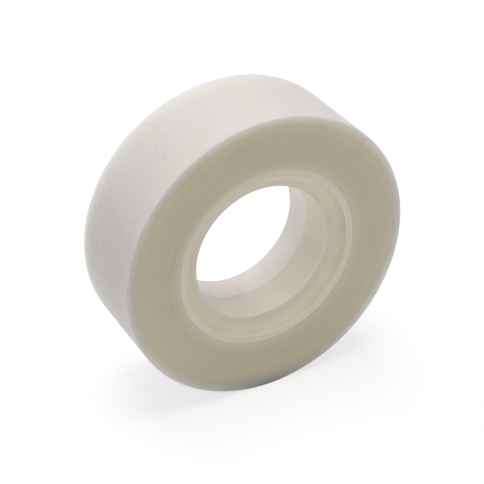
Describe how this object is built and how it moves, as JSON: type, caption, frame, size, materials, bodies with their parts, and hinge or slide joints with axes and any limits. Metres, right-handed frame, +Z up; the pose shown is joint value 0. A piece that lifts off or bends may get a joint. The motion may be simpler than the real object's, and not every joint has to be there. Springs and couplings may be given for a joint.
{
  "type": "tape roll",
  "caption": "Roll of matte translucent adhesive tape wound on a two-part plastic core with dished ends and a bore that turns on a dispenser's hub.",
  "frame": {"origin": "middle of the core's bore, on the roll's axis and half-way between the tape's edges", "axes": "+Y along the roll's axis towards the back face, +Z up with the roll standing on its rim, +X to the right seen from the front face"},
  "size_m": [0.0548, 0.018, 0.0548],
  "materials": {
    "matte_tape": "matte translucent tape film, cut edges slightly olive",
    "core_plastic": "translucent off-white moulded plastic, satin"
  },
  "bodies": {
    "root": {"tape_winding": "matte_tape", "core_front_half": "core_plastic", "core_back_half": "core_plastic"}
  },
  "joints": []
}
